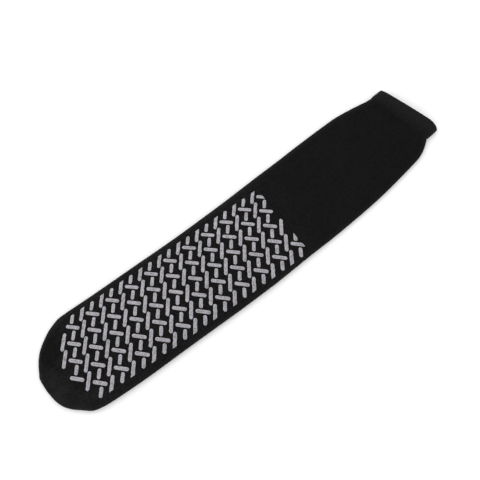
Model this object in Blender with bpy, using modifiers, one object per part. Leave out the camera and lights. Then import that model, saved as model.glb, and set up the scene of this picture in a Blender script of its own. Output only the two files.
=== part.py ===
"""Double-tread slipper sock: a heel-less knitted tube, a turned welt, and a dash print on both faces.

The sock lies slack and flat on its sole, toe towards -X, mouth towards +X, instep face up.
Metres, +Z up. The origin is the middle of the outline, on the floor.
"""

import math

import bmesh
import bpy
from mathutils import Vector
from mathutils.geometry import delaunay_2d_cdt

# Lengths along the sock
FOOT_LENGTH = 0.280
LEG_LENGTH = 0.1339
WELT_DEPTH = 0.0120

# Widths across the flat tube, fold to fold
BALL_WIDTH = 0.0948
LEG_WIDTH = 0.0865
NECK_WIDTH = 0.0623

# Thicknesses of the slack tube, from its underside to its crown
INSTEP_HEIGHT = 0.0178
HEEL_HEIGHT = 0.0162
LEG_HEIGHT = 0.0135
MOUTH_HEIGHT = 0.0150

# Knit
KNIT_WALL = 0.0020
WELT_WALL = 0.0028
WELT_PROUD = 0.0004
WELT_EDGE_ROUND = 0.0008
FOLD_RADIUS = 0.0043
FOLD_SPREAD = 0.0056

# The mouth is slanted: its right fold leads the left one, and droops back at the corner
MOUTH_LEAD = 0.0204
MOUTH_DROOP = 0.0045

# Printed tread
TREAD_FILM = 0.0005
TREAD_RISE = 0.0008
DASH_WIDTH = 0.0034
PLAIN_TOE = 0.0327
PLAIN_LEFT = 0.0062
PLAIN_RIGHT = 0.0105
PRINT_PAST_HEEL = 0.0017
PRINT_TOE_ROUND = 0.0360
PRINT_TURN_LINE = -0.0010
FILM_RIM = 0.0011
FILM_FROM_FOLD = 0.0028

# Clearance where two pieces meet, and where the film is draped over the crown
CLEARANCE = 0.0003
DRAPE_CLEARANCE = 0.0005

# Height of the knit over the floor, where the tread carries it
TREAD_STACK = TREAD_RISE + TREAD_FILM + CLEARANCE

# A row is one section across the tube. Its columns are:
# along: distance of the left fold from the zone's start, as a share of the zone's length
# left, right: the two folds, as shares of the zone's width, from the sock's axis
# thick: thickness, as a share of the zone's height
# fold: height of the folds over the underside, as a share of the thickness
# lift: height of the underside over the floor, as a share of TREAD_STACK
# lead: how far the right fold leads the left one, as a share of MOUTH_LEAD
TOE_AND_BALL_SHARES = (
    (0.0000, -0.040, -0.040, 0.00, 0.50, 4.00, 0.00),
    (0.0040, 0.100, -0.160, 0.27, 0.50, 2.70, 0.00),
    (0.0143, 0.155, -0.250, 0.45, 0.48, 1.90, 0.00),
    (0.0330, 0.244, -0.326, 0.62, 0.45, 1.35, 0.00),
    (0.0600, 0.331, -0.395, 0.74, 0.41, 1.05, 0.00),
    (0.0940, 0.399, -0.471, 0.83, 0.37, 1.00, 0.00),
    (0.1350, 0.459, -0.496, 0.90, 0.34, 1.00, 0.00),
    (0.1860, 0.494, -0.506, 0.94, 0.32, 1.00, 0.00),
    (0.3210, 0.484, -0.514, 0.99, 0.30, 1.00, 0.00),
    (0.4910, 0.476, -0.508, 1.00, 0.30, 1.00, 0.00),
    (0.6610, 0.468, -0.507, 0.97, 0.31, 1.00, 0.00),
)
HEEL_SHARES = (
    (0.8300, 0.473, -0.498, 1.03, 0.32, 1.00, 0.00),
    (1.0000, 0.489, -0.470, 1.00, 0.33, 1.00, 0.00),
)
LEG_SHARES = (
    (0.0200, 0.537, -0.514, 1.17, 0.34, 1.00, 0.00),
    (0.1800, 0.543, -0.504, 1.10, 0.37, 0.00, 0.00),
    (0.4000, 0.556, -0.480, 1.04, 0.38, 0.00, 0.00),
    (0.6700, 0.563, -0.437, 1.00, 0.40, 0.00, 0.00),
    (0.8360, 0.539, -0.379, 0.97, 0.42, 0.00, 0.38),
    (0.9220, 0.517, -0.333, 0.94, 0.45, 0.10, 0.75),
    (0.9780, 0.505, -0.275, 0.92, 0.48, 0.20, 0.84),
)
NECK_SHARES = ((1.0000, 0.702, -0.298, 0.84, 0.48, 0.00, 1.00),)
WELT_SHARES = (
    (0.0000, 0.702, -0.298, 0.84, 0.48, 0.00, 1.00),
    (0.4500, 0.708, -0.290, 0.92, 0.48, 0.00, 1.12),
    (1.0000, 0.712, -0.276, 1.00, 0.48, 0.00, 1.27),
)

# Steps of one section's outline: each round of a fold, the crown and the underside
ROUND_STEPS = 3
CROWN_STEPS = 10
UNDER_STEPS = 4
SWELL_POWER = 1.2
DROOP_FROM = 0.78

# The dash pattern, as laid out flat on the printing board. A cell holds a long dash at its
# corner, a cross dash half a cell on, and a short dash between two cross dashes.
CELL_PITCH = 0.0225
ROW_PITCH = 0.0141
ROW_SHIFT = 0.0160
PATTERN_FROM_TOE = 0.1477
PATTERN_TO_LEFT = 0.0094
# Columns: the straight middle of the dash, along and across
LONG_SPINE = (0.0083, 0.0104)
CROSS_SPINE = (0.0077, -0.0067)
SHORT_SPINE = (0.0037, 0.0046)
# Columns: where a long, a cross and a short dash lie in the cell, as shares of it on and down
CELL_SHARES = ((0.0, 0.0), (0.5, 0.0), (0.5, 0.5))
SHORTEST_TIPPED = 0.0080

# The printed knit relaxes as it leaves the board. A row moves each point by its two shifts,
# times the product of the reaches that it names. A reach of 1 is RELAX_REACH from the origin.
# Columns: reaches, shift along, shift across
RELAX_REACH = 0.100
RELAX = (
    ("along", -0.0006, -0.0015),
    ("along along", -0.0025, 0.0003),
    ("along across", -0.0082, -0.0019),
    ("across across", -0.0001, -0.0159),
    ("along along across", 0.0023, -0.0008),
    ("along across across", 0.0051, -0.0030),
)
PRINT_TOE_POWER = 2.5
FILM_TOE_POWER = 3.5
FILM_TOE_STEPS = 18
FILM_SIDE_STEPS = 26
FILM_HEEL_STEPS = 12
FILM_BENDS = 4
HALVINGS = 24


def clear_scene():
    """Removes what the scene holds at the start."""
    for item in list(bpy.data.objects):
        bpy.data.objects.remove(item, do_unlink=True)


def make_material(name, colour, roughness):
    """A Principled material of one colour and roughness."""
    material = bpy.data.materials.new(name)
    material.use_nodes = True
    shader = material.node_tree.nodes["Principled BSDF"]
    shader.inputs["Base Color"].default_value = (*colour, 1.0)
    shader.inputs["Roughness"].default_value = roughness
    shader.inputs["Metallic"].default_value = 0.0
    return material


def make_object(name, mesh_data, collection, material):
    """Turns a bmesh into a named object with its faces pointing out."""
    bmesh.ops.recalc_face_normals(mesh_data, faces=mesh_data.faces)
    mesh = bpy.data.meshes.new(name)
    mesh_data.to_mesh(mesh)
    mesh_data.free()
    mesh.materials.append(material)
    built = bpy.data.objects.new(name, mesh)
    collection.objects.link(built)
    return built


def shade(built, degrees):
    """Smooth shading, with edges sharper than the angle left sharp."""
    built.data.shade_smooth()
    built.data.set_sharp_from_angle(angle=math.radians(degrees))


def sections(rows, start, length, width, height):
    """Each row of shares as a section in metres, measured from the toe tip and the sock's axis."""
    return [
        {
            "along": start + along * length,
            "lead": lead * MOUTH_LEAD,
            "left": left * width,
            "right": right * width,
            "thick": thick * height,
            "fold": fold * thick * height,
            "under": lift * TREAD_STACK,
            "droop": 0.0,
        }
        for along, left, right, thick, fold, lift, lead in rows
    ]


def tube_sections():
    """The knitted tube's sections, from the toe tip to the neck under the welt."""
    return (
        sections(TOE_AND_BALL_SHARES, 0.0, FOOT_LENGTH, BALL_WIDTH, INSTEP_HEIGHT)
        + sections(HEEL_SHARES, 0.0, FOOT_LENGTH, BALL_WIDTH, HEEL_HEIGHT)
        + sections(LEG_SHARES, FOOT_LENGTH, LEG_LENGTH, LEG_WIDTH, LEG_HEIGHT)
        + sections(NECK_SHARES, FOOT_LENGTH, LEG_LENGTH, NECK_WIDTH, MOUTH_HEIGHT)
    )


def welt_sections():
    """The welt's sections, from the neck to the mouth's edge."""
    start = FOOT_LENGTH + LEG_LENGTH + CLEARANCE
    found = sections(WELT_SHARES, start, WELT_DEPTH, NECK_WIDTH, MOUTH_HEIGHT)
    for section, row in zip(found, WELT_SHARES):
        section["droop"] = row[0] * MOUTH_DROOP
    return found


def crown_height(section, across):
    """Height of the crown over the fold: the round of the fold, with the slack tube's swell on it."""
    half = (section["left"] - section["right"]) / 2
    if half <= 0:
        return 0.0
    middle = (section["left"] + section["right"]) / 2
    reach = min(1.0, abs(across - middle) / half)
    above = section["thick"] - section["fold"]
    shoulder = min(FOLD_RADIUS, above)
    spread = min(FOLD_SPREAD, half)
    past = max(0.0, (reach * half - (half - spread)) / spread)
    swell = (above - shoulder) * (1 - reach**2) ** SWELL_POWER
    return shoulder * math.sqrt(max(0.0, 1 - past**2)) + swell


def outline(section, inset=0.0):
    """The section's outline, counterclockwise seen from the mouth: the crown, then the underside."""
    left = section["left"] - inset
    right = section["right"] + inset
    half = max(0.0, (left - right) / 2)
    middle = (left + right) / 2
    spread = min(FOLD_SPREAD, half)
    level = section["under"] + section["fold"]
    below = max(0.0, section["fold"] - inset)
    inner = dict(section, left=left, right=right)
    inner["thick"] = section["thick"] - 2 * inset
    inner["fold"] = section["fold"] - inset
    quarter = [math.pi / 2 * step / ROUND_STEPS for step in range(ROUND_STEPS + 1)]
    flat = half - spread
    left_round = [half - spread + spread * math.cos(turn) for turn in quarter]
    crown = left_round + [flat * (1 - 2 * step / CROWN_STEPS) for step in range(1, CROWN_STEPS)]
    crown += [-offset for offset in reversed(left_round)]
    points = [(middle + offset, level + crown_height(inner, middle + offset)) for offset in crown]
    under = [(-half + spread - spread * math.cos(turn), -below * math.sin(turn)) for turn in quarter[1:]]
    under += [(-flat + 2 * flat * step / UNDER_STEPS, -below) for step in range(1, UNDER_STEPS)]
    under += [(-offset, drop) for offset, drop in reversed(under[:ROUND_STEPS])]
    return points + [(middle + offset, level + drop) for offset, drop in under]


def ring(section, inset=0.0):
    """The outline's points in space, before the whole sock is centred."""
    width = max(section["left"] - section["right"], 1e-9)
    points = []
    for across, height in outline(section, inset):
        share = (section["left"] - across) / width
        droop = section["droop"] * (max(0.0, share - DROOP_FROM) / (1 - DROOP_FROM)) ** 2
        points.append((section["along"] + section["lead"] * share - droop, across, height))
    return points


def centre_shift():
    """What moves the toe tip and the axis so that the whole outline is centred on the origin."""
    points = [point for section in tube_sections() + welt_sections() for point in ring(section)]
    furthest = max(point[0] for point in points)
    widest = max(point[1] for point in points) + min(point[1] for point in points)
    return Vector((-furthest / 2, -widest / 2, 0.0))


def skin(rings):
    """An open surface through the rings, with a point where a ring has no width."""
    mesh_data = bmesh.new()
    loops = [[mesh_data.verts.new(Vector(point) + SHIFT) for point in points] for points in rings]
    for near, far in zip(loops, loops[1:]):
        for index in range(len(near)):
            after = (index + 1) % len(near)
            mesh_data.faces.new((near[index], near[after], far[after], far[index]))
    bmesh.ops.remove_doubles(mesh_data, verts=mesh_data.verts, dist=1e-6)
    return mesh_data


def add_wall(built, thickness):
    """Gives an open skin its wall, inwards, with the rim closed."""
    wall = built.modifiers.new("knit wall", "SOLIDIFY")
    wall.thickness = thickness
    wall.offset = -1.0
    wall.use_even_offset = True
    wall.use_rim = True
    return wall


def make_knit_upper(collection, material):
    """The knitted tube: closed round the toe, open at the neck, foot and leg in one."""
    found = tube_sections()
    rings = [ring(section) for section in found[:-1]]
    rings.append(ring(found[-1], inset=WELT_PROUD))
    built = make_object("knit_upper", skin(rings), collection, material)
    add_wall(built, KNIT_WALL)
    shade(built, 50)
    return built


def make_cuff_welt(collection, material):
    """The turned welt at the mouth: a double layer of rib, a step prouder than the leg."""
    rings = [ring(section) for section in welt_sections()]
    built = make_object("cuff_welt", skin(rings), collection, material)
    add_wall(built, WELT_WALL)
    edge = built.modifiers.new("turned edge", "BEVEL")
    edge.width = WELT_EDGE_ROUND
    edge.segments = 1
    edge.limit_method = "ANGLE"
    edge.angle_limit = math.radians(65)
    shade(built, 50)
    return built


def relaxed(point):
    """A point of the printing board, moved to where it lies on the relaxed sock."""
    along, across = point
    reach_along = along / RELAX_REACH
    reach_across = across / RELAX_REACH
    for reaches, shift_along, shift_across in RELAX:
        weight = reach_along ** reaches.count("along") * reach_across ** reaches.count("across")
        along += shift_along * weight
        across += shift_across * weight
    return along + PATTERN_FROM_TOE, across + PATTERN_TO_LEFT


def board_field():
    """The printed field on the board, from the pattern's origin: its toe, heel, left and right edges."""
    toe = PLAIN_TOE - PATTERN_FROM_TOE
    heel = FOOT_LENGTH + PRINT_PAST_HEEL - PATTERN_FROM_TOE
    left = BALL_WIDTH / 2 - PLAIN_LEFT - PATTERN_TO_LEFT
    right = -BALL_WIDTH / 2 + PLAIN_RIGHT - PATTERN_TO_LEFT
    return toe, heel, left, right


def folds_at(along):
    """The left and right fold of the foot, at a distance from the toe tip."""
    near, far, share = section_at(along)
    return tuple(near[side] + (far[side] - near[side]) * share for side in ("left", "right"))


def drawn_in(point, margin):
    """A board point, drawn across towards the pattern's line until it lies a margin inside the folds."""
    along, out = point
    kept = 0.0
    tried = out
    for halving in range(HALVINGS):
        place = relaxed((along, tried))
        left, right = folds_at(place[0])
        if right + margin <= place[1] <= left - margin:
            kept = tried
        else:
            out = tried
        if kept == out:
            break
        tried = (out + kept) / 2
    return along, kept


def in_field(along, across):
    """Whether a board point lies inside the printed field, which is round at the toe."""
    toe, heel, left, right = board_field()
    past = max(0.0, toe + PRINT_TOE_ROUND - along) / PRINT_TOE_ROUND
    aside = abs(across - (left + right) / 2) / ((left - right) / 2)
    return along < heel and past**PRINT_TOE_POWER + aside**PRINT_TOE_POWER <= 1


def clipped(points, axis, limit, sign):
    """The part of a convex polygon on one side of a line square to an axis."""
    kept = []
    for here, after in zip(points, points[1:] + points[:1]):
        depth_here = sign * (limit - here[axis])
        depth_after = sign * (limit - after[axis])
        if depth_here >= 0:
            kept.append(here)
        if depth_here * depth_after < 0:
            share = depth_here / (depth_here - depth_after)
            kept.append(tuple(a + (b - a) * share for a, b in zip(here, after)))
    return kept


def dash_polygon(centre, spine):
    """A dash as board points: two sides with a tip at each end, or a plain block where it is short."""
    length = math.hypot(*spine)
    run = Vector(spine) / length
    side = Vector((-run.y, run.x)) * DASH_WIDTH / 2
    body = run * length / 2
    tip = run * (length / 2 + DASH_WIDTH / 2)
    if length > SHORTEST_TIPPED:
        corners = (body - side, tip, body + side, -body + side, -tip, -body - side)
    else:
        end = body + run * DASH_WIDTH / 4
        corners = (end - side, end + side, -end + side, -end - side)
    return [tuple(Vector(centre) + corner) for corner in corners]


def printed_dashes():
    """Every dash whose middle is in the field, cut straight at the sides and at the heel line."""
    toe, heel, left, right = board_field()
    cells = range(-int(2 * FOOT_LENGTH / CELL_PITCH), int(2 * FOOT_LENGTH / CELL_PITCH))
    rows = range(-int(2 * BALL_WIDTH / ROW_PITCH), int(2 * BALL_WIDTH / ROW_PITCH))
    found = []
    for (cells_on, rows_down), spine in zip(CELL_SHARES, (LONG_SPINE, CROSS_SPINE, SHORT_SPINE)):
        for row in rows:
            for cell in cells:
                down = row + cells_on + rows_down
                along = (cell + rows_down) * -CELL_PITCH + down * ROW_SHIFT
                across = -down * ROW_PITCH
                if not in_field(along, across):
                    continue
                dash = dash_polygon((along, across), spine)
                dash = clipped(clipped(clipped(dash, 1, left, 1), 1, right, -1), 0, heel, 1)
                found.append([relaxed(drawn_in(point, FILM_FROM_FOLD + FILM_RIM)) for point in dash])
    return found


def film_outline():
    """The edge of the film under the dashes: straight sides, a round toe and a straight heel line."""
    toe, heel, left, right = board_field()
    left += FILM_RIM
    right -= FILM_RIM
    end = heel + FILM_RIM
    start = toe + PRINT_TOE_ROUND
    reach = PRINT_TOE_ROUND + LONG_SPINE[0] / 2 + DASH_WIDTH / 2 + FILM_RIM
    middle = (left + right) / 2
    half = (left - right) / 2
    sides = [start + (end - start) * step / FILM_SIDE_STEPS for step in range(FILM_SIDE_STEPS + 1)]
    toe_edge = []
    for step in range(1, FILM_TOE_STEPS):
        turn = math.pi * step / FILM_TOE_STEPS
        rise = math.cos(turn)
        toe_edge.append(
            (
                start - reach * math.sin(turn) ** (2 / FILM_TOE_POWER),
                middle + half * math.copysign(abs(rise) ** (2 / FILM_TOE_POWER), rise),
            )
        )
    edge = [(along, left) for along in reversed(sides)] + toe_edge + [(along, right) for along in sides]
    edge = [drawn_in(point, FILM_FROM_FOLD) for point in edge]
    from_right = [step / FILM_HEEL_STEPS for step in range(1, FILM_HEEL_STEPS)]
    edge += [(end, edge[-1][1] + (edge[0][1] - edge[-1][1]) * share) for share in from_right]
    return [relaxed(point) for point in edge]


def section_at(along):
    """The two sections around a place on the foot, and how far it lies between them."""
    upright = [section for section in tube_sections() if section["lead"] == 0]
    pairs = list(zip(upright, upright[1:]))
    near, far = next((pair for pair in pairs if pair[1]["along"] >= along), pairs[-1])
    return near, far, (along - near["along"]) / (far["along"] - near["along"])


def over_instep(along, across):
    """Height of the film's back over the floor, draped on the crown of the instep."""
    near, far, share = section_at(along)
    left, right = folds_at(along)
    from_right = (across - right) / (left - right)
    total = DRAPE_CLEARANCE
    for section, weight in ((near, 1 - share), (far, share)):
        own_across = section["right"] + from_right * (section["left"] - section["right"])
        total += weight * (section["under"] + section["fold"] + crown_height(section, own_across))
    return total


def under_sole(along, across):
    """Height of the film's back over the floor, flat under the sole."""
    return TREAD_STACK - CLEARANCE


def knit_grid():
    """Points along the lengthwise lines of the tube's crown, so that the film bends where it does."""
    found = []
    upright = [section for section in tube_sections() if section["lead"] == 0]
    for near, far in zip(upright, upright[1:]):
        pairs = list(zip(outline(near), outline(far)))[: 2 * (ROUND_STEPS + 1) + CROWN_STEPS - 1]
        for step in range(FILM_BENDS):
            share = step / FILM_BENDS
            along = near["along"] + (far["along"] - near["along"]) * share
            found += [(along, start[0] + (end[0] - start[0]) * share) for start, end in pairs]
    return found


def inside(point, polygon):
    """Whether a point lies in a polygon, by counting the edges that it looks across."""
    crossings = 0
    for here, after in zip(polygon, polygon[1:] + polygon[:1]):
        if (here[1] > point[1]) != (after[1] > point[1]):
            share = (point[1] - here[1]) / (after[1] - here[1])
            crossings += point[0] < here[0] + (after[0] - here[0]) * share
    return crossings % 2 == 1


def distance_to(point, polygon):
    """Distance from a point to the nearest place on a polygon's edges."""
    found = []
    for here, after in zip(polygon, polygon[1:] + polygon[:1]):
        start, step = Vector(here), Vector(after) - Vector(here)
        share = max(0.0, min(1.0, (Vector(point) - start).dot(step) / step.length_squared))
        found.append((start + step * share - Vector(point)).length)
    return min(found)


def make_tread(name, collection, material, back_height, looks_up):
    """One face's print: a film draped on the knit, with the dashes raised from it.

    The print under the sole is the instep's, turned over about the print's middle line. The
    film on the instep also takes the knit's own points inside it, so that it bends with the knit.
    """
    out = 1 if looks_up else -1
    edge = film_outline()
    dashes = printed_dashes()
    flat = edge + [corner for dash in dashes for corner in dash]
    loops = [list(range(len(edge)))]
    for dash in dashes:
        start = loops[-1][-1] + 1
        loops.append(list(range(start, start + len(dash))))
    relief = delaunay_2d_cdt([Vector(point) for point in flat], [], loops, 1, 1e-7)
    points, faces, owners = relief[0], relief[2], relief[5]
    mesh_data = bmesh.new()

    def place(point, rise):
        across = point[1] if looks_up else 2 * PRINT_TURN_LINE - point[1]
        height = back_height(point[0], across) + out * rise
        return mesh_data.verts.new(Vector((point[0], across, height)) + SHIFT)

    low = [place(point, TREAD_FILM) for point in points]
    high = {}
    borders = {}
    for face, owner in zip(faces, owners):
        on_dash = any(source > 0 for source in owner)
        if not on_dash:
            mesh_data.faces.new([low[index] for index in face])
            continue
        for index in face:
            if index not in high:
                high[index] = place(points[index], TREAD_FILM + TREAD_RISE)
        mesh_data.faces.new([high[index] for index in face])
        for pair in zip(face, face[1:] + face[:1]):
            border = tuple(sorted(pair))
            borders[border] = borders.get(border, 0) + 1
    for (first, second), count in borders.items():
        if count == 1:
            mesh_data.faces.new((low[first], low[second], high[second], high[first]))

    back_points = list(edge)
    if looks_up:
        clear = FILM_RIM / 2
        back_points += [p for p in knit_grid() if inside(p, edge) and distance_to(p, edge) > clear]
    back = delaunay_2d_cdt([Vector(point) for point in back_points], [], [list(range(len(edge)))], 1, 1e-7)
    base = [place(point, 0.0) for point in back[0]]
    for face in back[2]:
        mesh_data.faces.new([base[index] for index in face])
    for index in range(len(edge)):
        after = (index + 1) % len(edge)
        mesh_data.faces.new((low[index], low[after], base[after], base[index]))
    return make_object(name, mesh_data, collection, material)


clear_scene()
SHIFT = centre_shift()

sock = bpy.data.collections.new("slipper_sock")
bpy.context.scene.collection.children.link(sock)

knit = make_material("black_terry_knit", (0.011, 0.011, 0.012), 0.95)
rib = make_material("black_rib_welt", (0.016, 0.016, 0.017), 0.92)
print_ink = make_material("grey_raised_print", (0.36, 0.34, 0.37), 0.60)

make_knit_upper(sock, knit)
make_cuff_welt(sock, rib)
make_tread("sole_tread", sock, print_ink, under_sole, False)
make_tread("instep_tread", sock, print_ink, over_instep, True)
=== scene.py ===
import math

import bpy
import numpy as np
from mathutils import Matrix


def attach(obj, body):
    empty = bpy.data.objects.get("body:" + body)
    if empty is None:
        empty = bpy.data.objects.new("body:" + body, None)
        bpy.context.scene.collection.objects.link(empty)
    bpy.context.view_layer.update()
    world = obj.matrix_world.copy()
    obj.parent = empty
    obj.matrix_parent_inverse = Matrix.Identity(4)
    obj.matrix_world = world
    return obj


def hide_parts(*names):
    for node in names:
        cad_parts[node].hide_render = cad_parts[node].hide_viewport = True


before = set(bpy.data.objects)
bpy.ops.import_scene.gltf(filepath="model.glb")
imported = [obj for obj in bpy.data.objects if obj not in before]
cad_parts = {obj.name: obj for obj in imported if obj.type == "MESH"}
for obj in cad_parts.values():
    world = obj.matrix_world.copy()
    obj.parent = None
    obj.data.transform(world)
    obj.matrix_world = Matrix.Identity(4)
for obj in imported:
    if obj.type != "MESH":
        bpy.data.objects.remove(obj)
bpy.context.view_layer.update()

# The knitted tube. Foot and leg are knitted in one from black terry, with no turned heel: plain
# stitches outside, short loops inside. It lies slack and flat on its sole, so its sides are
# folds, its crown swells softly, and it is closed round the toe and open at the neck.

# Columns in millimetres: along the left fold, left fold, right fold, thickness, height of the
# folds over the underside, height of the underside over the floor, lead of the right fold
TUBE = np.array(
    [
        (-224.2, -3.79, -3.79, 0.00, 0.00, 6.10, 0.00),
        (-223.0, 9.48, -15.17, 4.81, 2.40, 4.10, 0.00),
        (-220.2, 14.69, -23.70, 8.01, 3.84, 2.80, 0.00),
        (-214.9, 23.13, -30.90, 11.04, 4.97, 1.80, 0.00),
        (-207.4, 31.38, -37.45, 13.17, 5.40, 1.20, 0.00),
        (-197.8, 37.83, -44.65, 14.97, 5.67, 1.00, 0.00),
        (-186.4, 43.51, -47.02, 16.42, 5.85, 1.00, 0.00),
        (-172.1, 46.83, -47.97, 17.23, 5.85, 1.00, 0.00),
        (-134.3, 45.88, -48.73, 18.12, 5.79, 1.00, 0.00),
        (-86.7, 45.12, -48.16, 18.30, 5.84, 1.00, 0.00),
        (-39.1, 44.37, -48.06, 17.77, 5.85, 1.00, 0.00),
        (8.2, 44.84, -47.21, 17.19, 5.84, 1.00, 0.00),
        (55.8, 46.36, -44.56, 16.50, 5.75, 1.00, 0.00),
        (79.9, 46.97, -43.60, 14.85, 5.49, 0.20, 0.00),
        (109.4, 48.09, -41.52, 14.04, 5.34, 0.05, 0.00),
        (145.6, 48.70, -37.80, 13.50, 5.40, 0.05, 0.00),
        (167.8, 46.62, -32.78, 13.09, 5.50, 0.05, 7.75),
        (179.3, 44.72, -28.80, 12.69, 5.71, 0.16, 15.30),
        (186.8, 43.68, -23.79, 12.42, 5.96, 0.32, 17.14),
        (189.7, 43.73, -18.57, 12.60, 6.05, 0.05, 20.40),
    ]
)
FOLD_RADIUS = 4.3
FOLD_SPREAD = 5.6
KNIT_WALL = 2.0
SWELL_POWER = 1.2
# Sections of the tube, then points along a fold's quarter round, the crown and the underside
TUBE_STEPS = (330, 9, 84, 46)

# Creases in millimetres: a line from one place to another, its half width, its height. The
# first ones gather round the toe, the next lie over the ankle, and the last beside the welt.
CREASES = np.array(
    [
        (-219.0, 4.0, -203.0, -11.0, 3.6, 0.80),
        (-216.0, -12.0, -201.0, -22.0, 3.4, -0.70),
        (-212.0, -21.0, -196.0, -31.0, 3.6, 0.75),
        (-205.0, -33.0, -186.0, -40.0, 3.4, -0.60),
        (-217.0, 13.0, -200.0, 15.0, 3.4, -0.65),
        (-211.0, 21.0, -196.0, 24.0, 3.6, 0.60),
        (-203.0, 32.0, -184.0, 33.0, 3.2, -0.50),
        (64.0, 40.0, 92.0, 4.0, 6.5, -0.70),
        (74.0, 43.0, 112.0, 8.0, 7.0, 0.65),
        (66.0, -40.0, 98.0, -12.0, 6.5, -0.60),
        (104.0, -38.0, 138.0, -6.0, 8.0, 0.55),
        (120.0, 44.0, 152.0, 20.0, 8.0, -0.50),
        (186.0, 38.0, 195.0, 18.0, 4.6, -0.95),
        (195.0, 18.0, 205.0, -6.0, 4.6, -0.95),
        (176.0, 36.0, 184.0, 14.0, 6.0, 0.60),
        (184.0, 14.0, 193.0, -10.0, 6.0, 0.60),
        (198.0, -14.0, 176.0, -26.0, 3.6, 0.85),
        (192.0, -6.0, 168.0, -16.0, 4.2, -0.60),
    ]
)
# Creases and waves grow over this stretch from the toe, in millimetres, and die out over the
# last sections
LIFT_FROM = -224.0
LIFT_OVER = 6.0
NECK_SECTIONS = 4
# Least width or length, in millimetres, that anything is divided by
TINY = 1e-6

LEG_BLACK = (0.0022, 0.0022, 0.0023)
LEG_GREY = (0.0079, 0.0078, 0.0079)
FOOT_BLACK = (0.0020, 0.0018, 0.0018)
FOOT_GREY = (0.0136, 0.0130, 0.0131)
LOOP_BLACK = (0.0034, 0.0034, 0.0036)
# In metres: the foot's yarn, stretched under the print, looks greyer up to here along, turns
# into the leg's over this much, and has soft patches of painted highlight and shade from here
# towards the toe
FOOT_END = 0.028
FOOT_FADE = 0.045
TOE_LIGHT_AND_SHADE_FROM = -0.170
# Pitches of the knit in millimetres, and what a unit of the surface map stands for on it
WALE_PITCH = 1.25
COURSE_PITCH = 0.95
MAP_UNIT = 100
MAP_NAME = "surface"
# Relief of stitches and lint in metres
STITCH_DEPTH = 0.00045
LINT_DEPTH = 0.0006
LOOP_DEPTH = 0.0010


def through_rows(rows, knots, places):
    """Values between the rows of a table.

    A cubic joins each pair of rows. Its slope at a row is the harmonic mean of the slopes on
    both sides, or level where they differ in sign, so that it never swings past a row.
    """
    gaps = np.diff(knots)
    rises = np.diff(rows, axis=0) / gaps[:, None]
    before, after = rises[:-1], rises[1:]
    agree = before * after > 0
    inner = np.where(agree, 2 * before * after / np.where(agree, before + after, 1.0), 0.0)
    slopes = np.concatenate([rises[:1], inner, rises[-1:]])
    at = np.clip(np.searchsorted(knots, places, side="right") - 1, 0, len(gaps) - 1)
    gap = gaps[at][:, None]
    share = (places - knots[at])[:, None] / gap
    rest = 1 - share
    start = rows[at] * (1 + 2 * share) * rest**2 + slopes[at] * gap * share * rest**2
    end = rows[at + 1] * (3 - 2 * share) * share**2 - slopes[at + 1] * gap * share**2 * rest
    return start + end


def knots_of(rows):
    """Distance run along the folds up to each row: the root of the summed squared steps."""
    steps = np.diff(rows[:, :3], axis=0)
    return np.concatenate([[0.0], np.cumsum(np.sqrt((steps**2).sum(axis=1)))])


def crown_over_fold(reach, half, above):
    """Height of the crown over the fold, at a share of the half width from the middle.

    A quarter ellipse over the fold, shoulder high and spread wide, plus a swell: the rest of the
    height times (1 - reach squared) to a power.
    """
    shoulder = np.minimum(FOLD_RADIUS, above)
    spread = np.minimum(FOLD_SPREAD, half)
    past = np.clip((reach * half - (half - spread)) / np.maximum(spread, TINY), 0, 1)
    swell = (above - shoulder) * (1 - reach**2) ** SWELL_POWER
    return shoulder * np.sqrt(1 - past**2) + swell


def crease_height(along, across):
    """Sum of the creases: each is its height times a bell of the distance to its line."""
    total = np.zeros(np.shape(along))
    for x0, y0, x1, y1, half_width, height in CREASES:
        run = np.array([x1 - x0, y1 - y0])
        length = np.hypot(*run)
        share = ((along - x0) * run[0] + (across - y0) * run[1]) / length**2
        near = np.clip(share, 0, 1)
        away = np.hypot(along - x0 - near * run[0], across - y0 - near * run[1])
        total += height * np.exp(-((away / half_width) ** 2))
    return total


def slack_waves(along, across):
    """Low uneven swells of slack cloth: five sines of unlike directions, 61 to 22 mm long."""
    return (
        0.22 * np.sin(along / 9.7 + 1.3 * np.sin(across / 17.0))
        + 0.20 * np.sin((along * 0.6 + across) / 7.9 + 0.8)
        + 0.14 * np.sin((along - across * 1.4) / 6.1 + 2.1)
        + 0.10 * np.sin((along * 0.3 - across) / 4.3 + 0.4)
        + 0.08 * np.sin((along + across * 0.5) / 3.9 + 4.0)
    )


def cloth_lift(along, across, reach):
    """Rise of creases and waves on the crown.

    Their sum times (1 - reach to the power 4), growing evenly from nothing at the toe's tip.
    """
    lift = crease_height(along, across) + slack_waves(along, across)
    return lift * (1 - reach**4) * np.clip((along - LIFT_FROM) / LIFT_OVER, 0, 1)


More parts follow.
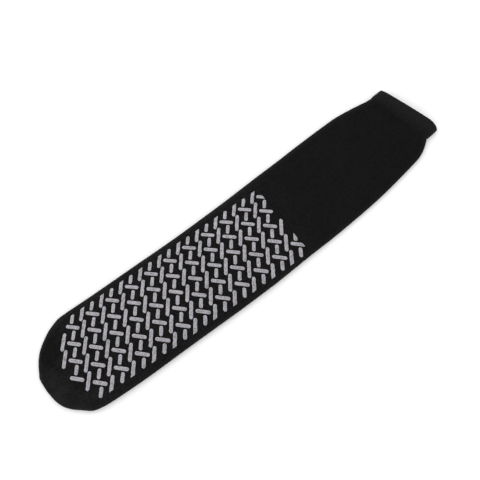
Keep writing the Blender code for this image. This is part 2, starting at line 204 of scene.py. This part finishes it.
def tube_grid(rows, steps_along, round_steps, crown_steps, under_steps):
    """Points of a flat-lying tube in millimetres, sections by steps round each section.

    Sections come from the table's cubics. A section runs counterclockwise seen from the mouth:
    a fold's quarter round, the crown, a quarter round, then the same back along the underside.
    """
    knots = knots_of(rows)
    places = knots[-1] * np.linspace(0, 1, steps_along)
    along, left, right, thick, fold, under, lead = through_rows(rows, knots, places).T[:, :, None]
    half = (left - right) / 2
    middle = (left + right) / 2
    spread = np.minimum(FOLD_SPREAD, half)
    turn = np.linspace(0, np.pi / 2, round_steps, endpoint=False)[None, :]
    flat = half - spread
    out = flat + spread * np.cos(turn)
    crown = flat * np.linspace(1, -1, crown_steps)[None, :]
    base = flat * np.linspace(-1, 1, under_steps)[None, :]
    upper = np.concatenate([out, crown, -out[:, ::-1]], axis=1)
    lower = np.concatenate([-out[:, 1:], base, out[:, :0:-1]], axis=1)
    reach = np.clip(np.abs(upper) / np.maximum(half, TINY), 0, 1)
    over = crown_over_fold(reach, half, thick - fold)
    past = np.clip((np.abs(lower) - flat) / np.maximum(spread, TINY), 0, 1)
    below = -fold * np.sqrt(1 - past**2)
    across = middle + np.concatenate([upper, lower], axis=1)
    height = under + fold + np.concatenate([over, below], axis=1)
    share = (left - across) / np.maximum(left - right, TINY)
    return np.stack([along + lead * share, across, height], axis=2), upper.shape[1]


def outward(grid):
    """Unit normals of a grid that closes on itself round each section, pointing out."""
    round_step = np.roll(grid, -1, axis=1) - np.roll(grid, 1, axis=1)
    along_step = np.gradient(grid, axis=0)
    normal = np.cross(round_step, along_step)
    return normal / np.maximum(np.linalg.norm(normal, axis=2, keepdims=True), TINY)


def grid_faces(rows, columns, start=0):
    """Quads of a grid whose points are numbered row by row, joined round each row."""
    row = np.arange(rows - 1)[:, None]
    column = np.arange(columns)[None, :]
    after = (column + 1) % columns
    near = (row * columns + column, row * columns + after)
    far = ((row + 1) * columns + after, (row + 1) * columns + column)
    return start + np.stack([*near, *far], axis=2).reshape(-1, 4)


def ring_joint(first, second, columns):
    """Quads between two rings of points, each numbered from its own start."""
    edge = np.arange(columns)
    after = (edge + 1) % columns
    return np.stack([first + edge, first + after, second + after, second + edge], 1)


def run_of(steps):
    """Distance run up to each point, from the lengths of the steps between points."""
    return np.concatenate([[0.0], np.cumsum(steps)])


def make_piece(name, points_mm, faces, materials, face_material=None, map_at=None):
    """A mesh object from points in millimetres and lists of faces, smooth shaded.

    map_at holds two values for each point, kept as the UV map that the materials read: on knit
    its place along and round in map units, on a dash its share of the way in from the edge.
    """
    mesh = bpy.data.meshes.new(name)
    mesh.from_pydata((points_mm / 1000).tolist(), [], faces)
    for material in materials:
        mesh.materials.append(material)
    if face_material is not None:
        mesh.polygons.foreach_set("material_index", face_material)
    if map_at is not None:
        point_of_loop = np.empty(len(mesh.loops), dtype=np.int32)
        mesh.loops.foreach_get("vertex_index", point_of_loop)
        layer = mesh.uv_layers.new(name=MAP_NAME)
        layer.data.foreach_set("uv", map_at[point_of_loop].ravel())
    mesh.polygons.foreach_set("use_smooth", np.ones(len(mesh.polygons), dtype=bool))
    mesh.update()
    piece = bpy.data.objects.new(name, mesh)
    bpy.context.scene.collection.objects.link(piece)
    return piece


class Socket:
    """A socket of a material. Arithmetic on it adds Math nodes and gives the new socket."""

    def __init__(self, tree, out):
        self.tree = tree
        self.out = out

    def node(self, kind, settings=None, sockets=None, out=0):
        """Adds a node: its settings first, then the values or links of its sockets."""
        added = self.tree.nodes.new(kind)
        for name, value in (settings or {}).items():
            if name == "stops":
                for stop, (place, colour) in zip(added.color_ramp.elements, value):
                    stop.position = place
                    stop.color = (*colour, 1.0)
            else:
                setattr(added, name, value)
        for name, value in (sockets or {}).items():
            if isinstance(value, Socket):
                self.tree.links.new(value.out, added.inputs[name])
            else:
                added.inputs[name].default_value = value
        return Socket(self.tree, added.outputs[out])

    def math(self, operation, *values):
        """A Math node on the values, or on this socket where none is given."""
        return self.node("ShaderNodeMath", {"operation": operation}, dict(enumerate(values or (self,))))

    def clamped(self):
        """This value held between 0 and 1."""
        return self.node("ShaderNodeClamp", {}, {"Value": self})

    def axis(self, index):
        """One axis of this vector."""
        return self.node("ShaderNodeSeparateXYZ", {}, {0: self}, index)

    def __add__(self, other):
        return self.math("ADD", self, other)

    def __radd__(self, other):
        return self.math("ADD", other, self)

    def __sub__(self, other):
        return self.math("SUBTRACT", self, other)

    def __rsub__(self, other):
        return self.math("SUBTRACT", other, self)

    def __mul__(self, other):
        return self.math("MULTIPLY", self, other)

    def __truediv__(self, other):
        return self.math("DIVIDE", self, other)


def new_material(name):
    """A new material, the place on its piece in metres as a socket, and its shader."""
    material = bpy.data.materials.new(name)
    material.use_nodes = True
    tree = material.node_tree
    where = Socket(tree, None).node("ShaderNodeTexCoord", {}, {}, out=3)
    return material, where, tree.nodes["Principled BSDF"]


def surface_map(where):
    """The two values of the piece's own UV map, on the tree of a given socket."""
    return where.node("ShaderNodeUVMap", {"uv_map": MAP_NAME})


def noise(place, scale, detail=3.0, roughness=0.55):
    """Fractal noise from 0 to 1, with its features 1 / scale metres apart."""
    sockets = {"Vector": place, "Scale": scale, "Detail": detail, "Roughness": roughness}
    return place.node("ShaderNodeTexNoise", {}, sockets)


def mixed(share, first, second):
    """A colour between two, by a share."""
    one = first if isinstance(first, Socket) else (*first, 1.0)
    two = second if isinstance(second, Socket) else (*second, 1.0)
    return share.node("ShaderNodeMix", {"data_type": "RGBA"}, {0: share, 6: one, 7: two}, out=2)


def relief(height, distance, strength, under=None):
    """A bump of the height, in metres of distance, over another bump if there is one."""
    sockets = {"Height": height, "Distance": distance, "Strength": strength}
    if under is not None:
        sockets["Normal"] = under
    return height.node("ShaderNodeBump", {}, sockets)


def dress(shader, colour, roughness, normal, specular, sheen):
    """Links colour, roughness and normal to the shader, and sets its specular level and sheen."""
    links = colour.tree.links
    links.new(colour.out, shader.inputs["Base Color"])
    links.new(roughness.out, shader.inputs["Roughness"])
    links.new(normal.out, shader.inputs["Normal"])
    shader.inputs["Specular IOR Level"].default_value = specular
    shader.inputs["Sheen Weight"].default_value = sheen
    shader.inputs["Sheen Roughness"].default_value = 0.55


def stitches(where, wale_pitch, course_pitch):
    """Height of plain knit from the surface map: rows of slanted legs that make upright Vs.

    Each leg is a half sine across its half of the wale, times (0.65 + 0.35 of a sine along it),
    whose phase slants with the distance from the wale's middle.
    """
    place = surface_map(where)
    wale = place.axis(1) * (MAP_UNIT / wale_pitch)
    course = place.axis(0) * (MAP_UNIT / course_pitch)
    from_middle = (wale.math("FRACT") - 0.5).math("ABSOLUTE")
    legs = ((wale * 2).math("FRACT") * math.pi).math("SINE")
    slant = ((course + from_middle * 0.9) * (2 * math.pi)).math("SINE")
    return legs * (slant * 0.35 + 0.65)


def mottle_and_stitch_highlight(where, patches, height):
    """Share of the grey in black yarn: soft patches, a speckle of lint, and a painted highlight on the
    stitches' tops.
    """
    speckle = noise(where, 520.0, roughness=0.7)
    return patches * 0.4 + (speckle - 0.5) * 2.2 + height * 0.2


def knit_relief(where, height, depth):
    """Bump of the stitches over a bump of lint."""
    lint = relief(noise(where, 420.0), LINT_DEPTH, 0.55)
    return relief(height, depth, 0.75, lint)


def terry_face():
    """Black knit: dark uneven yarn, greyer on the foot, and soft patches of painted highlight and shade
    round the toe.
    """
    material, where, shader = new_material("terry_face")
    height = stitches(where, WALE_PITCH, COURSE_PITCH)
    along = where.axis(0)
    patches = noise(where, 26.0)
    toe = (TOE_LIGHT_AND_SHADE_FROM - along).clamped()
    # Soft patches towards the toe, lighter and darker: painted highlights and painted shade.
    toe_light_and_shade = (noise(where, 48.0, detail=1.0) - 0.5) * toe * 60.0
    mottle_and_painted_light = mottle_and_stitch_highlight(where, patches, height) + toe_light_and_shade
    leg = ((along - FOOT_END) / FOOT_FADE).clamped()
    foot_yarn = mixed(mottle_and_painted_light, FOOT_BLACK, FOOT_GREY)
    colour = mixed(leg, foot_yarn, mixed(mottle_and_painted_light, LEG_BLACK, LEG_GREY))
    rough = 0.86 + patches * 0.10
    normal = knit_relief(where, height, STITCH_DEPTH)
    dress(shader, colour, rough, normal, specular=0.07, sheen=0.02)
    return material


def terry_loops():
    """The inside of terry knit: short yarn loops, as crowded round bumps."""
    material, where, shader = new_material("terry_loops")
    loops = where.node("ShaderNodeTexVoronoi", {}, {"Vector": where, "Scale": 620.0})
    patches = noise(where, 60.0)
    colour = mixed(patches, LOOP_BLACK, LEG_GREY)
    rough = 0.90 + patches * 0.08
    normal = relief(1 - loops, LOOP_DEPTH, 0.9)
    dress(shader, colour, rough, normal, specular=0.07, sheen=0.02)
    return material


def make_tube():
    """The knit's two faces and its rim at the neck.

    Outside: the section grid, with creases and slack waves on its crown. Inside: every second
    section of that grid and the last, moved in along its normals by the wall. Both close on a
    pole at the toe.
    """
    grid, upper = tube_grid(TUBE, *TUBE_STEPS)
    rows, columns = grid.shape[:2]
    along, across = grid[..., 0], grid[..., 1]
    left, right = grid[:, :1, 1], grid[:, upper - 1 : upper, 1]
    middle, half = (left + right) / 2, np.maximum((left - right) / 2, TINY)
    reach = np.clip(np.abs(across - middle) / half, 0, 1)
    on_crown = (np.arange(columns) < upper)[None, :]
    neck_fade = np.clip(np.arange(rows)[::-1, None] / NECK_SECTIONS, 0, 1)
    grid[..., 2] += cloth_lift(along, across, reach) * neck_fade * on_crown
    inside = grid[2:] - outward(grid)[2:] * KNIT_WALL
    inside = np.concatenate([inside[:-1:2], inside[-1:]])
    outer = grid[1:].reshape(-1, 3)
    tip = grid[0].mean(axis=0)
    inner_tip = tip + np.array([KNIT_WALL, 0, 0])
    points = np.concatenate([outer, inside.reshape(-1, 3), [tip, inner_tip]])
    first_inner = len(outer)
    last_outer = first_inner - columns
    last_inner = first_inner + (len(inside) - 1) * columns
    pole, inner_pole = len(points) - 2, len(points) - 1
    edge = np.arange(columns)
    after = (edge + 1) % columns
    cap = np.stack([np.full(columns, pole), after, edge], 1)
    inner_cap = np.stack([np.full(columns, inner_pole), first_inner + edge, first_inner + after], 1)
    faces = grid_faces(rows - 1, columns).tolist()
    faces += ring_joint(last_outer, last_inner, columns).tolist() + cap.tolist()
    loops_from = len(faces)
    faces += grid_faces(len(inside), columns, first_inner)[:, ::-1].tolist() + inner_cap.tolist()
    kinds = (np.arange(len(faces)) >= loops_from).astype(np.int32)
    steps_round = np.linalg.norm(np.diff(grid, axis=1, append=grid[:, :1]), axis=2).mean(axis=0)
    run_along = np.cumsum(np.linalg.norm(np.diff(grid[:, columns // 4], axis=0), axis=1))
    run_round = run_of(steps_round)[:-1]
    outer_map = np.stack(np.broadcast_arrays(run_along[:, None], run_round[None, :]), 2)
    inner_map = np.zeros((len(points) - first_inner, 2))
    return points, faces, kinds, np.concatenate([outer_map.reshape(-1, 2), inner_map]) / MAP_UNIT


tube_points, tube_faces, tube_kinds, tube_map = make_tube()
tube = make_piece(
    "knitted_tube", tube_points, tube_faces, [terry_face(), terry_loops()], tube_kinds, tube_map
)
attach(tube, "root")
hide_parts("knit_upper")


# The welt. The mouth's end is turned in and knitted double, so it is thicker and a step prouder
# than the leg, ribbed along the sock, round at its edge, and a shade lighter. It runs slanted,
# because the right fold leads, and the slack corner at that fold droops back.

# Columns in millimetres, as for the tube, then how far the right corner droops back
WELT = np.array(
    [
        (189.75, 43.75, -18.60, 12.62, 6.05, 0.05, 20.40, 0.00),
        (191.4, 44.05, -18.72, 13.10, 6.30, 0.03, 21.10, 0.50),
        (195.4, 44.25, -18.25, 13.90, 6.70, 0.00, 22.85, 2.02),
        (199.5, 44.45, -17.80, 14.80, 7.15, 0.00, 24.70, 3.60),
        (202.0, 44.30, -17.15, 15.00, 7.20, 0.00, 25.91, 4.50),
    ]
)
# Sections of the welt, then points along a fold's quarter round, the crown and the underside
WELT_STEPS = (15, 14, 210, 130)
WELT_WALL = 2.8
# The mouth's round edge: its steps, and how far back of its section it starts, in millimetres
EDGE_STEPS = 9
EDGE_BACK = 0.2
# Share of the width, from the left fold, where the droop of the right corner starts
DROOP_FROM = 0.78
RIB_PITCH = 2.1
RIB_DEPTH = 0.16
RIB_FADE_SECTIONS = 2
# The leg's shade turns into the welt's over this distance from the seam, in millimetres
SEAM_FADE = 9.0
RIB_BLACK = (0.0058, 0.0057, 0.0059)
RIB_GREY = (0.0130, 0.0127, 0.0130)
RIB_STITCH_DEPTH = 0.0004


def rib_welt():
    """Black double knit with fine ribs: a shade greyer than the leg, fading into it at the seam."""
    material, where, shader = new_material("rib_welt")
    height = stitches(where, RIB_PITCH / 2, COURSE_PITCH)
    patches = noise(where, 45.0)
    # Grey share: random mottle, and a painted highlight on the stitches' tops.
    mottle_and_painted_light = mottle_and_stitch_highlight(where, patches, height)
    past_seam = (surface_map(where).axis(0) * (MAP_UNIT / SEAM_FADE)).clamped()
    leg_yarn = mixed(mottle_and_painted_light, LEG_BLACK, LEG_GREY)
    colour = mixed(past_seam, leg_yarn, mixed(mottle_and_painted_light, RIB_BLACK, RIB_GREY))
    rough = 0.86 + patches * 0.10
    normal = knit_relief(where, height, RIB_STITCH_DEPTH)
    dress(shader, colour, rough, normal, specular=0.08, sheen=0.03)
    return material


def make_welt():
    """The welt ring: outside, a half round over the mouth's edge, inside, and the turned end.

    The section grid gives the outside. Points further round the profile are moved in along the
    normals: depth = wall / 2 * (1 - cos(turn)) and reach = wall / 2 * sin(turn) at the edge.
    Ribs are a cosine along the way round, faded towards both ends.
    """
    grid, upper = tube_grid(WELT[:, :7], *WELT_STEPS)
    rows, columns = grid.shape[:2]
    knots = knots_of(WELT)
    droop = through_rows(WELT[:, 7:], knots, knots[-1] * np.linspace(0, 1, rows))
    left, right = grid[:, :1, 1], grid[:, upper - 1 : upper, 1]
    share = (left - grid[..., 1]) / (left - right)
    grid[..., 0] -= droop * np.clip((share - DROOP_FROM) / (1 - DROOP_FROM), 0, 1) ** 2
    edge_radius = WELT_WALL / 2
    steps = np.linalg.norm(np.diff(grid[-1], axis=0, append=grid[-1, :1]), axis=1)
    run_round = run_of(steps)[:-1]
    ribs = round(steps.sum() / RIB_PITCH)
    rib = RIB_DEPTH * np.cos(run_round / steps.sum() * 2 * np.pi * ribs)[None, :, None]
    normals = outward(grid)
    forward = np.gradient(grid, axis=0)
    forward /= np.linalg.norm(forward, axis=2, keepdims=True)
    body = grid[:-2]
    shown = np.minimum(1, np.arange(rows - 2) / RIB_FADE_SECTIONS)[:, None, None]
    outside = body + normals[:-2] * rib * shown
    turns = np.linspace(0, np.pi, EDGE_STEPS)[1:-1, None, None]
    round_edge = (
        grid[-2]
        - forward[-2] * EDGE_BACK
        + forward[-2] * edge_radius * np.sin(turns)
        - normals[-2] * edge_radius * (1 - np.cos(turns))
        + normals[-2] * rib * np.cos(turns / 2) ** 2
    )
    inside = (body - normals[:-2] * WELT_WALL)[::-1]
    rings = np.concatenate([outside, round_edge, inside])
    turned_end = ring_joint((len(rings) - 1) * columns, 0, columns)
    faces = grid_faces(len(rings), columns).tolist() + turned_end.tolist()
    run_along = run_of(np.linalg.norm(np.diff(rings, axis=0), axis=2).mean(axis=1))
    knit_map = np.stack(np.broadcast_arrays(run_along[:, None], run_round[None, :]), 2)
    return rings.reshape(-1, 3), faces, knit_map.reshape(-1, 2) / MAP_UNIT


welt_points, welt_faces, welt_map = make_welt()
welt = make_piece("turned_welt", welt_points, welt_faces, [rib_welt()], None, welt_map)
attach(welt, "root")
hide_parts("cuff_welt")


# The printed treads. Thick grey ink is pressed through a screen onto the sock while it is
# stretched flat on a board, once on each face, and swells as it cures. Three kinds of dash
# repeat on one slanted lattice, cut straight at the sides and heel, whole round the toe.

CELL_PITCH = 22.5
ROW_PITCH = 14.1
ROW_SHIFT = 16.0
# The lattice runs this many cells and rows each way from its origin, well past the field
CELLS_AWAY = 20
ROWS_AWAY = 9
# Columns: cells on, rows down, and the straight middle of the dash, along and across, in mm
DASH_KINDS = ((0.0, 0.0, 8.3, 10.4), (0.5, 0.0, 7.7, -6.7), (0.5, 0.5, 3.7, 4.6))
DASH_WIDTH = 3.3
# Points on each round end of a dash and along each side, both corners of the side among them
END_POINTS = 9
SIDE_POINTS = 12
PRINT_RISE = 0.95
PRINT_SUNK = 0.25
# A dash's rings: share of the way in from the outline to the spine, and share of the rise
PAD = np.array([(0.0, 0.42), (0.10, 0.74), (0.26, 0.93), (0.50, 1.0)])
# Wander of the dashes' edges on the board in mm, and unevenness of their tops as a share
EDGE_WANDER = 0.09
TOP_UNEVEN = 0.07
# Height of the knit's underside over the floor, where the sole's dashes carry it
SOLE_HEIGHT = 1.0
# The crown's table for the print: its rows, and how far along it has to reach
CROWN_ROWS = 900
CROWN_END = 75.0
# The pattern's origin on the sock, and the edges of the printed field from it, on the board
PATTERN_AT = (-76.4, 9.4)
FIELD_LEFT = 31.8
FIELD_RIGHT = -46.3
FIELD_TOE = -115.0
FIELD_HEEL = 134.0
TOE_ROUND = 36.0
TOE_POWER = 2.5
# The sole's print is the instep's, turned over about this line along the sock
TURN_LINE = -1.0
# Columns: power along, power across, shift along and across in mm, for a reach of 100 mm
RELAX_REACH = 100
RELAX = (
    (1, 0, -0.6, -1.5),
    (2, 0, -2.5, 0.3),
    (1, 1, -8.2, -1.9),
    (0, 2, -0.1, -15.9),
    (2, 1, 2.3, -0.8),
    (1, 2, 5.1, -3.0),
)
INK_GREY = (0.302, 0.289, 0.317)
INK_PALE = (0.456, 0.441, 0.474)
INK_DARK = (0.105, 0.100, 0.111)
GRAIN_DEPTH = 0.0003
BLOT_DEPTH = 0.0004


def relaxed(along, across):
    """Where a point of the board lies on the relaxed sock: a sum of shifts times powers."""
    moved_along, moved_across = along + PATTERN_AT[0], across + PATTERN_AT[1]
    for power_along, power_across, shift_along, shift_across in RELAX:
        weight = (along / RELAX_REACH) ** power_along * (across / RELAX_REACH) ** power_across
        moved_along = moved_along + shift_along * weight
        moved_across = moved_across + shift_across * weight
    return moved_along, moved_across


def field_dashes():
    """Centre and half spine of every dash of the lattice whose middle is in the field.

    The field is straight at its sides and heel, and a superellipse at the toe.
    """
    cells = np.arange(-CELLS_AWAY, CELLS_AWAY + 1)
    rows = np.arange(-ROWS_AWAY, ROWS_AWAY + 1)
    cell, row = (side.ravel() for side in np.meshgrid(cells, rows))
    middle = (FIELD_LEFT + FIELD_RIGHT) / 2
    half = (FIELD_LEFT - FIELD_RIGHT) / 2
    centres, spines = [], []
    for cells_on, rows_down, spine_along, spine_across in DASH_KINDS:
        down = row + cells_on + rows_down
        along = -(cell + rows_down) * CELL_PITCH + down * ROW_SHIFT
        across = -down * ROW_PITCH
        past = np.maximum(0, FIELD_TOE + TOE_ROUND - along) / TOE_ROUND
        aside = np.abs(across - middle) / half
        kept = (along < FIELD_HEEL) & (past**TOE_POWER + aside**TOE_POWER <= 1)
        centres.append(np.stack([along[kept], across[kept]], 1))
        spines.append(np.tile((spine_along / 2, spine_across / 2), (kept.sum(), 1)))
    return np.concatenate(centres), np.concatenate(spines)


def kept_share(start, step):
    """Share of a step from a board point that stays inside the sides and the heel of the field."""
    limits = (
        (step[..., 1], FIELD_LEFT - start[..., 1]),
        (-step[..., 1], start[..., 1] - FIELD_RIGHT),
        (step[..., 0], FIELD_HEEL - start[..., 0]),
    )
    shares = [np.where(gain > TINY, room / np.maximum(gain, TINY), 1.0) for gain, room in limits]
    return np.minimum(1.0, np.min(shares, axis=0))


def cut_dashes():
    """Outline of every dash on the board, with each point's anchor on the dash's spine.

    An outline is two half rounds joined by straight sides. The field's edges shorten the spine,
    the middle moves to the middle of what is left, and each outline point is drawn back towards
    it until it is inside.
    """
    centre, spine = field_dashes()
    length = np.linalg.norm(spine, axis=1, keepdims=True)
    run = spine / length
    radius = DASH_WIDTH / 2
    reach = run * (length + radius)
    head = centre + reach * kept_share(centre, reach)[:, None]
    tail = centre - reach * kept_share(centre, -reach)[:, None]
    middle = ((head + tail) / 2)[:, None]
    left_over = np.linalg.norm(head - tail, axis=1)
    side = np.stack([-run[:, 1], run[:, 0]], 1)[:, None]
    run, length = run[:, None], length[:, None]
    turn = np.linspace(-np.pi / 2, np.pi / 2, END_POINTS)
    back = np.linspace(1, -1, SIDE_POINTS)[1:-1]
    aside = np.full(len(back), np.pi / 2)
    turns = np.concatenate([turn, aside, turn + np.pi, -aside])[None, :, None]
    end = np.concatenate([np.ones(END_POINTS), back, -np.ones(END_POINTS), -back])[None, :, None]
    rounds = radius * (run * np.cos(turns) + side * np.sin(turns))
    outline = centre[:, None] + run * length * end + rounds
    outline = middle + (outline - middle) * kept_share(middle, outline - middle)[..., None]
    hold = np.maximum(left_over / 2 - radius, 0)[:, None]
    along_run = ((outline - middle) * run).sum(axis=2)
    anchor = middle + run * np.clip(along_run, -hold, hold)[..., None]
    return outline, anchor


def crown_height(along, across):
    """Height of the knit's crown over the floor in mm, creases and waves included.

    Each place takes its section from a dense table of the foot's sections.
    """
    knots = knots_of(TUBE)
    rows = through_rows(TUBE, knots, np.linspace(0, knots[-1], CROWN_ROWS))
    rows = rows[: np.searchsorted(rows[:, 0], CROWN_END)]
    left, right, thick, fold, under = (
        np.interp(along, rows[:, 0], rows[:, column]) for column in range(1, 6)
    )
    half = (left - right) / 2
    reach = np.clip(np.abs(across - (left + right) / 2) / half, 0, 1)
    crown = crown_over_fold(reach, half, thick - fold)
    return under + fold + crown + cloth_lift(along, across, reach)


def make_print(name, looks_up):
    """The dashes of one face, each a low pad.

    Rings run in from the outline towards the spine by the pad's table, from a foot that is sunk
    a little into the knit. Sines make the edges wander on the board and the tops uneven. On the
    sole the tops lie flat on the floor instead.
    """
    outline, anchor = cut_dashes()
    count, corners = outline.shape[:2]
    shares = np.concatenate([[0.0], PAD[:, 0]])
    heights = np.concatenate([[-PRINT_SUNK], PAD[:, 1] * PRINT_RISE])
    board = outline[:, None] + (anchor - outline)[:, None] * shares[None, :, None, None]
    on, down = board[..., 0], board[..., 1]
    ripple = EDGE_WANDER * np.sin(on * 2.9 + 2.0) * np.sin(down * 3.3 + 1.0)
    on, down = (
        on + ripple + EDGE_WANDER * np.sin(down * 4.9),
        down - ripple + EDGE_WANDER * np.sin(on * 4.4),
    )
    along, across = relaxed(on, down)
    if looks_up:
        lump = 1 + TOP_UNEVEN * np.sin(along * 0.9 + 1.0) * np.sin(across * 1.1)
        height = crown_height(along, across) + heights[None, :, None] * lump
    else:
        across = 2 * TURN_LINE - across
        height = SOLE_HEIGHT * (1 - heights[None, :, None] / PRINT_RISE)
        height = np.broadcast_to(height, along.shape)
    points = np.stack([along, across, height], axis=3).reshape(-1, 3)
    ring = np.arange(len(shares) - 1)[None, :, None]
    dash = np.arange(count)[:, None, None]
    corner = np.arange(corners)[None, None, :]
    after = (corner + 1) % corners
    start = (dash * len(shares) + ring) * corners
    over = start + corners
    quads = np.stack([start + corner, start + after, over + after, over + corner], axis=3)
    quads = quads.reshape(-1, 4)
    tops = (dash[:, 0] * len(shares) + len(shares) - 1) * corners + np.arange(corners)[None, :]
    feet = dash[:, 0] * len(shares) * corners + np.arange(corners)[None, ::-1]
    if not looks_up:
        quads, tops, feet = quads[:, ::-1], tops[:, ::-1], feet[:, ::-1]
    faces = quads.tolist() + tops.tolist() + feet.tolist()
    inward = np.broadcast_to(shares[None, :, None], along.shape).ravel()
    return make_piece(name, points, faces, [raised_ink()], None, np.stack([inward, inward * 0], 1))


def raised_ink():
    """Grey cured ink: matt and chalky, with a grainy top where the knit's fuzz pokes through."""
    material, where, shader = new_material("raised_ink")
    grain = noise(where, 780.0, roughness=0.7)
    blots = noise(where, 320.0, detail=2.0)
    cloud = noise(where, 30.0, detail=2.0)
    stops = [(0.40, INK_DARK), (0.56, INK_GREY)]
    speckled = where.node("ShaderNodeValToRGB", {"stops": stops}, {0: grain * 0.75 + blots * 0.25})
    rim = (1 - surface_map(where).axis(0) * 2.4).clamped()
    colour = mixed(cloud * 0.2 + rim * 0.65, speckled, INK_PALE)
    rough = 0.55 + grain * 0.25
    normal = relief(grain, GRAIN_DEPTH, 0.7, relief(blots, BLOT_DEPTH, 0.5))
    dress(shader, colour, rough, normal, specular=0.35, sheen=0.0)
    return material


for print_name, node, looks_up in (
    ("instep_print", "instep_tread", True),
    ("sole_print", "sole_tread", False),
):
    print_piece = make_print(print_name, looks_up)
    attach(print_piece, "root")
    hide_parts(node)


# The floor: a plain pale sheet, wide enough to leave no edge in view.

FLOOR_HALF = 4000.0
FLOOR_GREY = (0.86, 0.86, 0.86)
FLOOR_PALE = (0.90, 0.90, 0.90)


def pale_floor():
    """Matt off-white, faintly uneven."""
    material, where, shader = new_material("pale_floor")
    cloud = noise(where, 3.0)
    colour = mixed(cloud, FLOOR_GREY, FLOOR_PALE)
    rough = 0.85 + cloud * 0.1
    normal = relief(noise(where, 200.0), 0.0001, 0.1)
    dress(shader, colour, rough, normal, specular=0.2, sheen=0.0)
    return material


floor_points = np.array([(-1, -1, 0), (1, -1, 0), (1, 1, 0), (-1, 1, 0)]) * FLOOR_HALF
floor = make_piece("floor", floor_points, [(0, 1, 2, 3)], [pale_floor()])


# Light: a white surround, a large soft light overhead, and a weaker one low from the toe's left
# that shows the swell of the cloth.

world = bpy.data.worlds.new("surround")
world.use_nodes = True
background = world.node_tree.nodes["Background"]
background.inputs["Color"].default_value = (1.0, 1.0, 1.0, 1.0)
background.inputs["Strength"].default_value = 1.0
bpy.context.scene.world = world
bpy.context.scene.view_settings.view_transform = "Standard"


def soft_light(name, place, size, power):
    """A square area light at a place, facing the middle of the sock."""
    light = bpy.data.lights.new(name, "AREA")
    light.size = size
    light.energy = power
    holder = bpy.data.objects.new(name, light)
    east, north, up = place
    tilt = math.atan2(math.hypot(east, north), up)
    holder.rotation_euler = (tilt, 0, math.atan2(north, east) + math.pi / 2)
    holder.location = place
    bpy.context.scene.collection.objects.link(holder)


soft_light("overhead_light", (0.3, 0.5, 2.0), size=1.6, power=18.0)
soft_light("low_light", (-1.0, 1.1, 0.7), size=0.8, power=5.0)


# The camera looks straight down on the instep print, rolled as in the photo, with a long lens.

ROLL = math.radians(-35.6)
# Width of the picture at the height of the sock's top, and the place under its middle, in metres
FRAME_WIDTH = 0.4549
SOCK_TOP = 0.015
FRAME_MIDDLE = (0.0094, 0.0068)
LENS = 135.0
SENSOR = 36.0
camera_data = bpy.data.cameras.new("camera")
camera_data.lens = LENS
camera_data.sensor_width = SENSOR
camera = bpy.data.objects.new("camera", camera_data)
camera.location = (*FRAME_MIDDLE, SOCK_TOP + FRAME_WIDTH * LENS / SENSOR)
camera.rotation_euler = (0.0, 0.0, ROLL)
bpy.context.scene.collection.objects.link(camera)
bpy.context.scene.camera = camera
